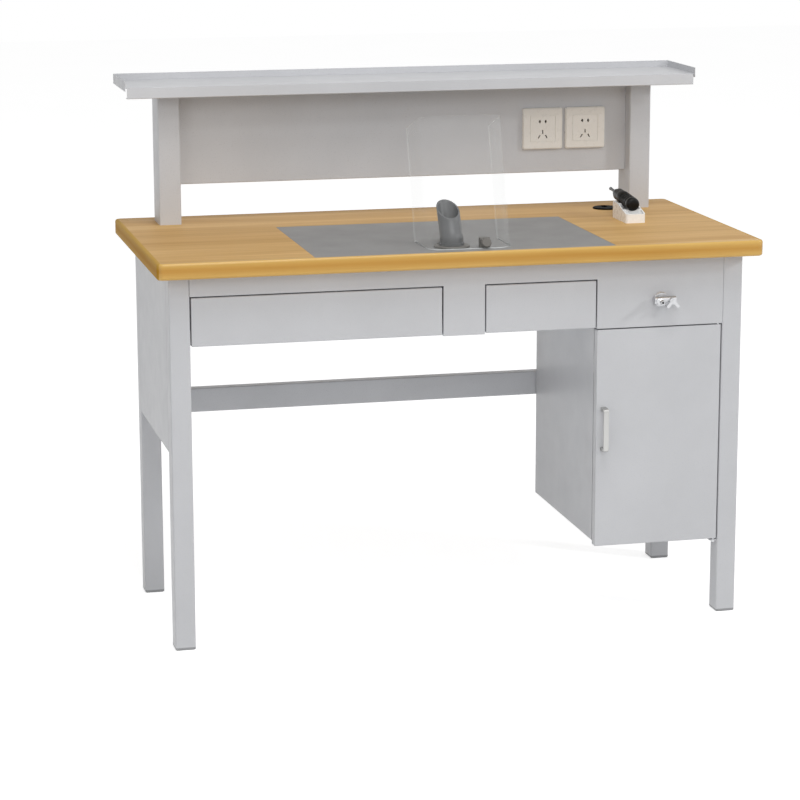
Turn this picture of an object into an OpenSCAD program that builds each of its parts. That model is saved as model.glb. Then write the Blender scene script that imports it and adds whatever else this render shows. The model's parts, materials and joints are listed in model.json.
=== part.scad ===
// Dental laboratory workbench: steel frame, laminated worktop with an inset plate,
// two drawers, a hinged cabinet, a raised tray shelf and the suction, gas and power fittings.
// Origin: on the floor under the middle of the worktop. +X right, +Y to the back, +Z up.

/* [Worktop] */
// Width of the worktop
top_w = 1200; // [1140:5:1500]
// Depth of the worktop
top_d = 600; // [580:5:750]
// Height of the work surface above the floor
top_h = 768; // [720:2:900]
// Thickness of the worktop
top_t = 32; // [26:1:45]
// Width of the solid lipping round the worktop
lip_w = 7; // [6:1:12]
// Rounding of the lipping's top and bottom edges
lip_r = 5; // [2:0.5:6]
// Plan radius of the worktop's corners
corner_r = 12; // [10:1:25]

/* [Inset plate] */
// Width of the grey inset plate
plate_w = 596; // [480:2:640]
// Depth of the inset plate
plate_d = 392; // [380:2:420]
// Thickness of the inset plate
plate_t = 4; // [3:0.5:8]
// Gap round the inset plate
plate_gap = 0.3; // [0.2:0.1:1]

/* [Frame] */
// Side of the square leg tube
leg_s = 40; // [30:1:50]
// Wall of all frame tubes
tube_t = 1.5; // [1.2:0.1:2.5]
// Outer corner radius of all frame tubes
tube_r = 3; // [2.6:0.1:5]
// Worktop overhang beyond the legs at each side
side_overhang = 27; // [10:1:40]
// Worktop overhang beyond the front legs
front_overhang = 45; // [35:1:60]
// Worktop overhang beyond the back legs
back_overhang = 105; // [90:1:130]
// Height of the top rails
rail_h = 41; // [34:1:50]
// Thickness of the top rails
rail_t = 20; // [15:1:25]
// Height of the rear stretcher tube
stretcher_h = 50; // [30:1:60]
// Thickness of the rear stretcher tube
stretcher_t = 25; // [20:1:30]
// Height of the stretcher's lower edge above the floor
stretcher_z = 377; // [250:1:420]
// Height of the side panels' lower edge above the floor
side_panel_z = 388; // [300:1:450]
// Thickness of all folded sheet metal
sheet = 1.2; // [1:0.1:1.5]
// Width of the folded edges of sheet parts
fold = 15; // [10:1:18]
// Height of the part of a leg's end cap that shows
cap_h = 6; // [4:1:10]

/* [Front] */
// Height of the lower edge of the fascia above the floor
fascia_z = 597; // [590:1:602]
// Height of the drawer fronts
drawer_front_h = 94; // [88:1:98]
// Gap round the drawer fronts and the door
front_gap = 2.5; // [2:0.1:3]
// Left edge of the fixed strip between the drawers, from the middle
strip_x0 = -38; // [-44:1:-34]
// Right edge of the fixed strip between the drawers, from the middle
strip_x1 = 45; // [40:1:60]
// Left face of the cabinet, from the middle
cabinet_x = 273; // [250:1:290]
// Depth of the drawer trays
tray_d = 380; // [320:5:390]
// Height of the drawer trays
tray_h = 70; // [50:1:74]
// Height of the runners
runner_h = 35; // [28:1:40]
// Width that a runner takes beside a tray
runner_w = 12.7; // [11:0.1:14]
// Slack between the sliding runner members
runner_slack = 0.3; // [0.2:0.05:0.4]

/* [Cabinet] */
// Height of the cabinet's lower edge above the floor
cabinet_z = 163; // [140:1:250]
// How far the door hangs below the cabinet
door_drop = 8; // [6:1:12]
// Depth of the cabinet behind its door
cabinet_d = 400; // [330:1:403]
// Thickness of the folded door
door_t = 18; // [15:1:20]
// Radius of the door's pivot pins
pivot_r = 2.5; // [2:0.1:3]
// Distance of the pivots from the door's front and right faces
pivot_in = 5; // [4.8:0.1:5.5]
// Length of the door pull
pull_l = 88; // [64:1:128]
// Stand-off of the door pull
pull_out = 24; // [18:1:30]

/* [Uprights and shelf] */
// Width of the uprights
upright_w = 45; // [40:1:60]
// Depth of the uprights
upright_d = 75; // [60:1:90]
// Distance of the uprights' outer faces from the middle
upright_x = 523; // [515:1:540]
// Distance of the uprights' front faces behind the middle
upright_y = 180; // [174:1:190]
// Height of the shelf floor above the worktop
shelf_rise = 287; // [250:1:400]
// Width of the shelf
shelf_w = 1194; // [1160:2:1240]
// Depth of the shelf
shelf_d = 175; // [160:1:185]
// Distance of the shelf's front edge behind the middle
shelf_y = 113; // [105:1:118]
// Height of the shelf's raised rims above its floor
rim_up = 13; // [8:1:25]
// Depth of the shelf's side and back bands below its floor
rim_down = 6; // [4:1:12]
// Depth of the shelf's front flange below its floor
flange_down = 22; // [15:1:35]
// Gap between the worktop and the back panel
panel_gap = 78; // [60:1:120]
// Depth of the back panel's box
panel_box_d = 40; // [35:1:45]

/* [Sockets] */
// Side of a square socket plate
socket_s = 86; // [80:1:90]
// Projection of a socket plate
socket_t = 8; // [6:0.5:12]
// Centre of the first socket, from the middle
socket_x = 294; // [200:1:300]
// Distance between the socket centres
socket_pitch = 93; // [92:1:98]

/* [Suction and guard] */
// Outer diameter of the suction nozzle
nozzle_od = 44; // [44:1:48]
// Outer diameter of the pipe stub that the nozzle turns on
stub_od = 40; // [36:0.5:41]
// Running clearance between the nozzle and its pipe stub, on the radius
nozzle_fit = 0.06; // [0.03:0.01:0.1]
// Backward lean of the nozzle
nozzle_lean = 29; // [10:1:30]
// Length of the nozzle from its ball to the middle of its mouth
nozzle_l = 60; // [60:1:80]
// Angle between the mouth and a square cut
mouth_cut = 53; // [30:1:53]
// Width of the clear guard
guard_w = 170; // [160:1:200]
// Depth of the clear guard
guard_d = 112; // [100:1:130]
// Length of the clear guard along its slope
guard_l = 262; // [180:1:275]
// Thickness of the clear guard
guard_t = 3; // [2:0.5:4]
// Bend radius of the clear guard's front corners
guard_r = 30; // [15:1:45]
// Backward lean of the clear guard
guard_lean = 18; // [8:1:19]
// Diameter of the guard's clamp post
post_od = 22; // [18:1:26]

/* [Gas tap] */
// Centre of the gas tap, from the middle
tap_x = 404; // [380:1:450]
// Height of the gas tap above the fascia's lower edge
tap_rise = 54; // [40:1:70]
// Reach of the tap's hose nozzle from the fascia
tap_reach = 42; // [34:1:44]
// Distance between the tap's hose nozzle and its spindle
tap_spread = 26; // [26:1:34]
// Radius of the tap's wall flange
tap_flange_r = 15; // [12:0.5:18]

/* [Handpiece] */
// Diameter of the handpiece
hand_od = 28; // [22:1:30]
// Length of the handpiece body
hand_l = 117; // [100:1:140]
// Centre of the cradle, from the middle
cradle_x = 425; // [400:1:430]
// Width of the cradle
cradle_w = 42; // [40:1:48]
// Length of the cradle
cradle_l = 92; // [80:1:110]
// Lift of the back end of the handpiece
hand_tilt = 5; // [3:1:7]

/* [Cable outlet] */
// Diameter of the cable grommet's rim
grommet_od = 54; // [50:1:60]

/* [Hidden] */
$fn = 48;
seat = 0.3;
cut = 1;
top_x = top_w / 2;
top_y = top_d / 2;
under_z = top_h - top_t;
leg_x = top_x - side_overhang;
leg_in = leg_x - leg_s;
leg_fy = -top_y + front_overhang;
leg_by = top_y - back_overhang;
rail_z = under_z - rail_h;

plate_fy = -top_y + lip_w;
plate_by = plate_fy + plate_d;

drawer_z1 = fascia_z + drawer_front_h + 2;
drawer_z0 = drawer_z1 - drawer_front_h;
door_w = leg_in - cabinet_x - front_gap - 0.5;
door_x0 = cabinet_x + 0.5;
door_x1 = door_x0 + door_w;
door_z0 = cabinet_z - door_drop;
door_z1 = fascia_z - front_gap;
door_by = leg_fy + door_t;
cab_fy = door_by + 2;
cab_by = cab_fy + cabinet_d;
pivot_x = door_x1 - pivot_in;
pivot_y = leg_fy + pivot_in;
catch_z = door_z1 - 70;
lug_t = 2;
lug_z = door_z0 - front_gap - lug_t;
divider_tab = 60;

tray_z0 = drawer_z0 + 14;
tray_fy = leg_fy + sheet;
runner_z = tray_z0 + (tray_h - runner_h) / 2;
runner_y = leg_fy + door_t + seat;
bracket_x = -leg_in + tube_t;

shelf_z = top_h + shelf_rise;
shelf_under = shelf_z - sheet;
upright_in = upright_x - upright_w;
upright_by = upright_y + upright_d;
upright_bolt_r = 4;
plug_t = 10;
socket_body_s = 57;
panel_z0 = top_h + panel_gap;
panel_by = upright_by - 3;
panel_fy = panel_by - panel_box_d;
socket_z = (panel_z0 + shelf_under) / 2 - 11;

nozzle_x = strip_x0 + sheet + stub_od / 2 + 0.8;
nozzle_y = leg_fy + sheet + stub_od / 2 + 3;
flange_t = 4;
flange_r = 35;
nozzle_z = top_h + flange_t + seat;
socket_len = 10;
nozzle_rise = socket_len + 2;
spigot_r = 16;
spigot_l = 36;
guard_x = 14;
guard_fy = -top_y + lip_w + 23;
post_x = 43;
post_h = 20;

tap_z = fascia_z + tap_rise;
barrel_out = 13;
barrel_r = 8;
hose_dx = -10;
spindle_dx = hose_dx + tap_spread;
spindle_r = 3;
lever_out = barrel_out + barrel_r + 1 + seat;
lever_t = 6;
shank_r = 8;
locknut_h = 6;
inlet_r = 5;
inlet_l = 20;
cradle_fy = -28;
cradle_front_h = 18;
cradle_back_h = 34;
hand_rise = 21;
hand_z = top_h + hand_od / 2 + hand_rise;
chuck_r = 5;
chuck_in = 12;
grommet_x = upright_in - 22 - grommet_od / 2;
grommet_y = leg_by - 7;

steel = [0.78, 0.79, 0.80];
zinc = [0.62, 0.63, 0.65];
chrome = [0.86, 0.87, 0.88];
maple = [0.84, 0.66, 0.40];
lipping = [0.80, 0.56, 0.22];
plate_grey = [0.58, 0.58, 0.58];
white_plastic = [0.93, 0.93, 0.91];
grey_plastic = [0.42, 0.43, 0.44];
black_plastic = [0.06, 0.06, 0.06];
clear_plastic = [0.85, 0.92, 0.94, 0.35];

// A block between two opposite corners.
module block(a, b) {
    translate(a) cube(b - a);
}

// A rectangle from the origin with rounded corners, centred on request.
module rounded_rect(w, d, r, center = false) {
    translate(center ? [-w / 2, -d / 2] : [0, 0]) {
        translate([r, 0]) square([w - 2 * r, d]);
        translate([0, r]) square([w, d - 2 * r]);
        for (x = [r, w - r], y = [r, d - r]) translate([x, y]) circle(r);
    }
}

// The section of a rectangular tube.
module tube_section(w, d, wall = tube_t, r = tube_r) {
    difference() {
        rounded_rect(w, d, r);
        translate([wall, wall]) rounded_rect(w - 2 * wall, d - 2 * wall, r - wall);
    }
}

// A tube standing on the XY plane.
module tube_z(w, d, h) {
    linear_extrude(h) tube_section(w, d);
}

// A tube along X from the origin, d deep in Y and h high in Z.
module tube_x(l, d, h) {
    rotate([90, 0, 90]) linear_extrude(l) tube_section(d, h);
}

// A tube along Y from the origin, w wide in X and h high in Z.
module tube_y(l, w, h) {
    translate([0, l, 0]) rotate([90, 0, 0]) linear_extrude(l) tube_section(w, h);
}

// A sheet tray between two corners, open on the side that is named.
module pan(a, b, open, t = sheet) {
    low = [open == "-x" ? -cut : t, open == "-y" ? -cut : t, open == "-z" ? -cut : t];
    high = [open == "+x" ? -cut : t, open == "+y" ? -cut : t, open == "+z" ? -cut : t];
    difference() {
        block(a, b);
        block(a + low, b - high);
    }
}

module mirror_copy() {
    children();
    mirror([1, 0, 0]) children();
}

// Frame

module leg(x, y) {
    color(steel) translate([x, y, cap_h]) tube_z(leg_s, leg_s, under_z - cap_h);
}

module leg_front_left() leg(-leg_x, leg_fy);
module leg_front_right() leg(leg_in, leg_fy);
module leg_back_left() leg(-leg_x, leg_by - leg_s);
module leg_back_right() leg(leg_in, leg_by - leg_s);

// The chamfered outline of an end cap's foot, seen from one side.
module cap_outline(chamfer = 3) {
    polygon([[chamfer, 0], [leg_s - chamfer, 0], [leg_s, chamfer], [leg_s, cap_h], [0, cap_h], [0, chamfer]]);
}

module leg_end_cap() {
    inner = leg_s - 2 * tube_t - 0.4;
    plug_h = 18;
    intersection() {
        translate([0, leg_s, 0]) rotate([90, 0, 0]) linear_extrude(leg_s) cap_outline();
        rotate([90, 0, 90]) linear_extrude(leg_s) cap_outline();
        linear_extrude(cap_h) rounded_rect(leg_s, leg_s, tube_r);
    }
    translate([tube_t + 0.2, tube_t + 0.2, cap_h]) difference() {
        linear_extrude(plug_h) rounded_rect(inner, inner, 1.2);
        translate([3, 3, 0]) linear_extrude(plug_h + cut) square(inner - 6);
    }
}

module leg_end_caps() {
    color(grey_plastic) for (x = [-leg_x, leg_in], y = [leg_fy, leg_by - leg_s])
        translate([x, y, 0]) leg_end_cap();
}

module side_top_rails() {
    span = leg_by - leg_fy - 2 * leg_s;
    color(steel) mirror_copy()
        translate([leg_x - sheet - rail_t, leg_fy + leg_s, rail_z]) tube_y(span, rail_t, rail_h);
}

module back_top_rail() {
    color(steel) translate([-leg_in, leg_by - rail_t, rail_z]) tube_x(2 * leg_in, rail_t, rail_h);
}

module rear_stretcher() {
    color(steel) translate([-leg_in, leg_by - stretcher_t, stretcher_z])
        tube_x(2 * leg_in, stretcher_t, stretcher_h);
}

// A side panel with edges folded inwards at both legs and along the bottom.
module side_panel() {
    y0 = leg_fy + leg_s;
    y1 = leg_by - leg_s;
    difference() {
        block([leg_x - fold, y0, side_panel_z], [leg_x, y1, under_z]);
        block([leg_x - fold - cut, y0 + sheet, side_panel_z + sheet], [leg_x - sheet, y1 - sheet, under_z + cut]);
        block([leg_x - fold - cut, y0 - cut, rail_z - seat], [leg_x - sheet, y1 + cut, under_z + cut]);
    }
}

module side_panel_right() color(steel) side_panel();
module side_panel_left() color(steel) mirror([1, 0, 0]) side_panel();

// Front

// The outline of the fascia: one sheet with two drawer openings cut up from its lower edge.
module fascia_outline() {
    opening_z = drawer_z1 + front_gap;
    difference() {
        translate([-leg_in, fascia_z]) square([2 * leg_in, under_z - fascia_z]);
        translate([-leg_in - cut, fascia_z - cut])
            square([strip_x0 + leg_in + cut, opening_z - fascia_z + cut]);
        translate([strip_x1, fascia_z - cut]) square([cabinet_x - strip_x1, opening_z - fascia_z + cut]);
    }
}

module front_fascia() {
    opening_z = drawer_z1 + front_gap;
    color(steel) difference() {
        union() {
            translate([0, leg_fy + sheet, 0]) rotate([90, 0, 0]) linear_extrude(sheet) fascia_outline();
            block([-leg_in, leg_fy, under_z - sheet], [leg_in, leg_fy + fold, under_z]);
            block([-leg_in, leg_fy, opening_z], [strip_x0, leg_fy + fold, opening_z + sheet]);
            block([strip_x1, leg_fy, opening_z], [cabinet_x, leg_fy + fold, opening_z + sheet]);
            block([cabinet_x, leg_fy, fascia_z], [leg_in, leg_fy + fold, fascia_z + sheet]);
            block([cabinet_x, leg_fy, fascia_z], [cabinet_x + sheet, leg_fy + fold, opening_z + sheet]);
        }
        translate([tap_x, leg_fy - cut, tap_z]) rotate([-90, 0, 0])
            cylinder(h = sheet + 2 * cut, r = shank_r + 0.2);
        translate([pivot_x, pivot_y, fascia_z - cut]) cylinder(h = sheet + 2 * cut, r = pivot_r + 0.05);
        translate([nozzle_x, nozzle_y, opening_z]) cylinder(h = top_t + rail_h, r = stub_od / 2 + 1);
    }
}

// The outline of one web of the divider, seen from the side.
module divider_web() {
    y0 = leg_fy + sheet;
    y1 = leg_by - rail_t;
    z1 = under_z - sheet;
    polygon([[y0, fascia_z], [y1, fascia_z], [y1, under_z], [y0 + fold, under_z], [y0 + fold, z1], [y0, z1]]);
}

// Two webs behind the fixed strip carry the inner runners and hide the suction pipe.
module drawer_divider() {
    y1 = leg_by - rail_t;
    color(zinc) {
        for (x = [strip_x0, strip_x1 - sheet])
            translate([x, 0, 0]) rotate([90, 0, 90]) linear_extrude(sheet) divider_web();
        block([strip_x0, y1 - sheet, fascia_z], [strip_x1, y1, under_z]);
        block([strip_x0, y1 - divider_tab, under_z - sheet], [strip_x1, y1, under_z]);
    }
}

// A strip across the left legs that carries the left drawer's outer runner.
module runner_bracket() {
    margin = 4;
    color(zinc) block(
        [-leg_in, runner_y, runner_z - margin],
        [bracket_x, leg_by - rail_t, runner_z + runner_h + margin]
    );
}

// A channel along Y, its web at x = 0 and its open side at x = w.
module channel_y(l, w, h, t) {
    translate([0, l, 0]) rotate([90, 0, 0]) linear_extrude(l)
        polygon([[0, 0], [w, 0], [w, t], [t, t], [t, h - t], [w, h - t], [w, h], [0, h]]);
}

// The fixed member of a runner, standing against a face at x and opening to the right.
module outer_runner(x) {
    translate([x, runner_y, runner_z]) channel_y(tray_d - door_t, runner_w - 2, runner_h, sheet);
}

// The sliding member, standing against a tray side at x and opening to the left.
module inner_runner(x) {
    h = runner_h - 2 * (sheet + runner_slack);
    w = runner_w - sheet - runner_slack;
    translate([x, runner_y + seat, runner_z + sheet + runner_slack])
        mirror([1, 0, 0]) channel_y(tray_d - door_t - seat, w, h, sheet);
}

module mirrored_at(x) {
    translate([x, 0, 0]) mirror([1, 0, 0]) translate([-x, 0, 0]) children();
}

module outer_runners() {
    color(zinc) {
        outer_runner(bracket_x);
        mirrored_at(strip_x0) outer_runner(strip_x0);
        outer_runner(strip_x1);
        mirrored_at(cabinet_x) outer_runner(cabinet_x);
    }
}

// The pair of sliding members on a tray between two faces.
module tray_runners(x0, x1) {
    color(zinc) {
        inner_runner(x0 + runner_w);
        mirrored_at(x1 - runner_w) inner_runner(x1 - runner_w);
    }
}

module drawer_front(x0, x1) {
    color(steel) pan([x0, leg_fy, drawer_z0], [x1, leg_fy + door_t, drawer_z1], "+y");
}

// The tray stands between its runners and its front wall lies on the front's inner face.
module drawer_tray(x0, x1) {
    color(zinc) pan(
        [x0 + runner_w, tray_fy, tray_z0],
        [x1 - runner_w, tray_fy + tray_d, tray_z0 + tray_h],
        "+z"
    );
}

module drawer_left_front() drawer_front(-leg_in + front_gap, strip_x0 - front_gap);
module drawer_left_tray() drawer_tray(bracket_x, strip_x0);
module drawer_left_runners() tray_runners(bracket_x, strip_x0);
module drawer_right_front() drawer_front(strip_x1 + front_gap, cabinet_x - front_gap);
module drawer_right_tray() drawer_tray(strip_x1, cabinet_x);
module drawer_right_runners() tray_runners(strip_x1, cabinet_x);

// Cabinet

// The left side runs up to the worktop and carries the right drawer's outer runner.
module cabinet_side_left() {
    color(steel) translate([cabinet_x, 0, 0]) rotate([90, 0, 90]) linear_extrude(sheet) polygon([
        [cab_fy, cabinet_z], [cab_by, cabinet_z], [cab_by, under_z],
        [leg_fy + fold, under_z], [leg_fy + fold, fascia_z + sheet], [cab_fy, fascia_z + sheet]
    ]);
}

module cabinet_side_right() {
    color(steel) block([leg_in - sheet, cab_fy, cabinet_z], [leg_in, cab_by, fascia_z]);
}

module cabinet_back() {
    color(steel) block([cabinet_x + sheet, cab_by - sheet, cabinet_z], [leg_in - sheet, cab_by, under_z]);
}

module cabinet_floor() {
    x = pivot_x - 8;
    color(steel) difference() {
        union() {
            pan([cabinet_x + sheet, cab_fy, cabinet_z], [leg_in - sheet, cab_by - sheet, cabinet_z + door_t], "-z");
            block([x, leg_fy + 1, lug_z], [leg_in - sheet, cab_fy + sheet, lug_z + lug_t]);
            block([x, cab_fy, lug_z], [leg_in - sheet, cab_fy + sheet, cabinet_z + door_t]);
        }
        translate([pivot_x, pivot_y, lug_z - cut]) cylinder(h = lug_t + 2 * cut, r = pivot_r + 0.05);
    }
}

module cabinet_ceiling() {
    color(steel) pan([cabinet_x + sheet, cab_fy, fascia_z - door_t], [leg_in - sheet, cab_by - sheet, fascia_z], "-z");
}

// Two shouldered pins hold the door at its top and bottom right corners.
module door_pivots() {
    reach = 12;
    head_h = 3;
    head_r = pivot_r + 1;
    color(chrome) {
        translate([pivot_x, pivot_y, door_z1 - reach]) cylinder(h = reach + front_gap + sheet, r = pivot_r);
        translate([pivot_x, pivot_y, fascia_z + sheet]) cylinder(h = head_h, r = head_r);
        translate([pivot_x, pivot_y, lug_z]) cylinder(h = reach + front_gap + lug_t, r = pivot_r);
        translate([pivot_x, pivot_y, lug_z - head_h]) cylinder(h = head_h, r = head_r);
    }
}

module catch_magnet() {
    x = cabinet_x + sheet;
    color(white_plastic) block([x, door_by + seat, catch_z - 20], [x + 14, door_by + 30, catch_z + 20]);
}

module door_panel() {
    color(steel) difference() {
        pan([door_x0, leg_fy, door_z0], [door_x1, door_by, door_z1], "+y");
        for (z = [door_z0, door_z1])
            translate([pivot_x, pivot_y, z - 2 * sheet]) cylinder(h = 4 * sheet, r = pivot_r + 0.5);
    }
}

// A hat channel down the middle of the door's back.
module door_stiffener() {
    brim_w = 60;
    hat_w = 36;
    hat_d = 12;
    end_gap = 20;
    x = (door_x0 + door_x1) / 2;
    y = leg_fy + sheet;
    l = door_z1 - door_z0 - 2 * end_gap;
    color(zinc) translate([x, y, door_z0 + end_gap]) linear_extrude(l) difference() {
        union() {
            translate([-brim_w / 2, 0]) square([brim_w, sheet]);
            translate([-hat_w / 2, 0]) square([hat_w, hat_d]);
        }
        translate([-hat_w / 2 + sheet, -cut]) square([hat_w - 2 * sheet, hat_d - sheet + cut]);
    }
}

// Plastic blocks in the door's right corners that turn on the pins.
module door_pivot_blocks() {
    block_h = 20;
    block_out = 16;
    color(white_plastic) for (z = [door_z0 + sheet, door_z1 - sheet - block_h]) difference() {
        block([pivot_x - block_out, leg_fy + sheet, z], [door_x1 - sheet, door_by - 1, z + block_h]);
        translate([pivot_x, pivot_y, z - cut]) cylinder(h = block_h + 2 * cut, r = pivot_r + 0.05);
    }
}

// A flat bow pull, its feet on the door.
module door_pull() {
    bow_t = 4;
    bow_w = 10;
    bow_r = 8;
    x = door_x0 + 9;
    z = (door_z0 + door_z1) / 2 + 21 - pull_l / 2;
    color(chrome) translate([x, leg_fy, z]) rotate([0, 90, 0]) mirror([1, 0, 0]) linear_extrude(bow_w)
        mirror([0, 1]) difference() {
            union() {
                rounded_rect(pull_l, pull_out, bow_r);
                square([pull_l, bow_r]);
            }
            translate([bow_t + 3, -cut]) {
                square([pull_l - 2 * bow_t - 6, pull_out - bow_t - 5 + cut]);
                translate([0, cut]) rounded_rect(pull_l - 2 * bow_t - 6, pull_out - bow_t, 5);
            }
        }
}

module catch_striker() {
    x = door_x0 + sheet;
    color(zinc) block([x, leg_fy + sheet, catch_z - 16], [x + 12, door_by, catch_z + 16]);
}

// Worktop

// The section of the lipping, its inner face at x = 0.
module lip_section() {
    square([lip_w - lip_r, top_t]);
    translate([0, lip_r]) square([lip_w, top_t - 2 * lip_r]);
    for (y = [lip_r, top_t - lip_r]) translate([lip_w - lip_r, y]) circle(lip_r);
}

module clipped_lip_section() {
    intersection() {
        lip_section();
        square([lip_w, top_t]);
    }
}

module edge_lipping() {
    inner_r = corner_r - lip_w;
    cx = top_x - corner_r;
    cy = top_y - corner_r;
    color(lipping) translate([0, 0, under_z]) {
        for (side = [0, 1]) rotate(180 * side) {
            translate([-cx, -cy - inner_r, 0]) rotate([90, 0, 90]) linear_extrude(2 * cx)
                mirror([1, 0]) clipped_lip_section();
            translate([cx + inner_r, cy, 0]) rotate([90, 0, 0]) linear_extrude(2 * cy) clipped_lip_section();
        }
        for (a = [0:3])
            translate([a == 0 || a == 3 ? cx : -cx, a < 2 ? cy : -cy, 0])
                rotate(90 * a) rotate_extrude(angle = 90) translate([inner_r, 0]) clipped_lip_section();
    }
}

module worktop_board() {
    w = top_w - 2 * lip_w;
    d = top_d - 2 * lip_w;
    color(maple) difference() {
        translate([0, 0, under_z]) linear_extrude(top_t) rounded_rect(w, d, corner_r - lip_w, center = true);
        block(
            [-plate_w / 2 - plate_gap, -top_y, top_h - plate_t],
            [plate_w / 2 + plate_gap, plate_by + plate_gap, top_h + cut]
        );
        translate([nozzle_x, nozzle_y, under_z - cut]) cylinder(h = top_t + 2 * cut, r = stub_od / 2 + 1);
        translate([grommet_x, grommet_y, under_z - cut]) cylinder(h = top_t + 2 * cut, r = grommet_od / 2 - 4);
        upright_bolt_places() translate([0, 0, under_z - cut]) cylinder(h = top_t + 2 * cut, r = 4.5);
    }
}

module inset_plate() {
    color(plate_grey) difference() {
        block([-plate_w / 2, plate_fy, top_h - plate_t], [plate_w / 2, plate_by, top_h]);
        translate([nozzle_x, nozzle_y, top_h - plate_t - cut]) cylinder(h = plate_t + 2 * cut, r = stub_od / 2 + 1);
    }
}

// Uprights, shelf and back panel

module upright_left() {
    color(steel) translate([-upright_x, upright_y, top_h]) tube_z(upright_w, upright_d, shelf_under - top_h);
}

module upright_right() {
    color(steel) translate([upright_in, upright_y, top_h]) tube_z(upright_w, upright_d, shelf_under - top_h);
}

module upright_bolt_places() {
    x = upright_x - upright_w / 2;
    for (side = [-1, 1], y = [leg_by + 14, upright_by - 14]) translate([side * x, y, 0]) children();
}

// Steel plugs welded into the foot of each upright.
module upright_plugs() {
    play = 0.2;
    w = upright_w - 2 * (tube_t + play);
    d = upright_d - 2 * (tube_t + play);
    color(zinc) difference() {
        for (x = [-upright_x, upright_in])
            translate([x + tube_t + play, upright_y + tube_t + play, top_h]) linear_extrude(plug_t)
                rounded_rect(w, d, tube_r - tube_t);
        upright_bolt_places() translate([0, 0, top_h - cut])
            cylinder(h = plug_t + 2 * cut, r = upright_bolt_r + 0.05);
    }
}

// Bolts from below through the worktop into the plugs.
module upright_bolts() {
    washer_t = 1.6;
    head_h = 5.4;
    color(zinc) upright_bolt_places() translate([0, 0, under_z]) {
        cylinder(h = top_t + plug_t, r = upright_bolt_r);
        translate([0, 0, -washer_t]) cylinder(h = washer_t, r = 9);
        translate([0, 0, -washer_t - head_h]) cylinder(h = head_h, r = 7, $fn = 6);
    }
}

// The floor of the tray shelf.
module shelf_tray() {
    x = shelf_w / 2 - sheet;
    color(steel)
        block([-x, shelf_y + sheet, shelf_under], [x, shelf_y + shelf_d - sheet, shelf_z]);
}

// Raised rims at the shelf's sides and back, with a narrow open joint at each back corner, and a
// deeper flange along its open front, turned in at the bottom.
module shelf_edges() {
    joint = 0.2;
    inset = 4;
    x = shelf_w / 2;
    back = shelf_y + shelf_d;
    band_z = shelf_z - rim_down - sheet;
    rim_z = shelf_z + rim_up;
    flange_z = shelf_z - flange_down;
    color(steel) {
        for (x0 = [-x, x - sheet]) block([x0, shelf_y, band_z], [x0 + sheet, back, rim_z]);
        block([-x + sheet + joint, back - sheet, band_z], [x - sheet - joint, back, rim_z]);
        block([-x + inset, shelf_y, flange_z], [x - inset, shelf_y + sheet, shelf_z]);
        block([-x + inset, shelf_y, flange_z], [x - inset, shelf_y + fold, flange_z + sheet]);
    }
}

module socket_places() {
    for (i = [0, 1]) translate([socket_x + i * socket_pitch, panel_fy, socket_z]) rotate([90, 0, 0]) children();
}

module back_panel() {
    color(steel) difference() {
        pan([-upright_in, panel_fy, panel_z0], [upright_in, panel_by - sheet, shelf_under], "+y");
        socket_places() translate([0, 0, -sheet - cut]) linear_extrude(sheet + 2 * cut)
            square(socket_body_s + 3, center = true);
    }
}

module panel_cover() {
    color(steel) block([-upright_in, panel_by - sheet, panel_z0], [upright_in, panel_by, shelf_under]);
}

// One slot of a socket, turned by an angle.
module slot(x, y, angle, l = 8, w = 2.6) {
    translate([x, y]) rotate(angle) square([w, l], center = true);
}

// A plate with a two-pin outlet over a three-pin outlet.
module socket_slots() {
    for (side = [-1, 1]) {
        slot(side * 6.4, 15, 0, 7);
        translate([side * 6.4, 15]) circle(2.5);
        slot(side * 7.9, -17, side * 30);
    }
    slot(0, -7, 0);
}

module socket_plates() {
    r = 4;
    step_t = 2;
    color(white_plastic) socket_places() difference() {
        union() {
            linear_extrude(socket_t - step_t) rounded_rect(socket_s, socket_s, r, center = true);
            linear_extrude(socket_t) rounded_rect(socket_s - 4, socket_s - 4, r - 1, center = true);
        }
        translate([0, 0, socket_t - 1]) linear_extrude(1 + cut) difference() {
            rounded_rect(56, 56, 3, center = true);
            rounded_rect(54, 54, 2.5, center = true);
        }
        translate([0, 0, -cut]) linear_extrude(socket_t + 2 * cut) socket_slots();
    }
}

module socket_bodies() {
    s = socket_body_s;
    body_d = 24;
    back_t = 4;
    color(white_plastic) socket_places() difference() {
        translate([0, 0, -body_d]) linear_extrude(body_d) rounded_rect(s, s, 3, center = true);
        translate([0, 0, -body_d + back_t]) linear_extrude(body_d) socket_slots();
    }
}

// Suction nozzle and guard

module suction_flange() {
    wall = 2;
    r = stub_od / 2;
    neck_z = -top_t - 6;
    end_z = neck_z - 4 - spigot_l;
    screw_r = 2.5;
    color(grey_plastic) translate([nozzle_x, nozzle_y, top_h]) {
        rotate_extrude() polygon([
            [spigot_r - wall, end_z], [spigot_r, end_z], [spigot_r, neck_z - 4], [r, neck_z], [r, 0],
            [flange_r, 0], [flange_r, flange_t - 1.5], [flange_r - 1.5, flange_t], [r, flange_t],
            [r, flange_t + socket_len], [r - wall, flange_t + socket_len], [r - wall, neck_z],
            [spigot_r - wall, neck_z - 4]
        ]);
        for (a = [45:90:315]) rotate(a) translate([flange_r - 2 - screw_r, 0, flange_t])
            cylinder(h = 1.2, r = screw_r);
    }
}

// The leaning axis of the nozzle, from the middle of its ball.
module on_nozzle_axis() {
    translate([nozzle_x, nozzle_y, nozzle_z + nozzle_rise]) rotate([-nozzle_lean, 0, 0]) children();
}

// A block that takes away everything above its base plane.
module above(reach = 120) {
    translate([-reach / 2, -reach, 0]) cube([reach, 2 * reach, reach]);
}

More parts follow.
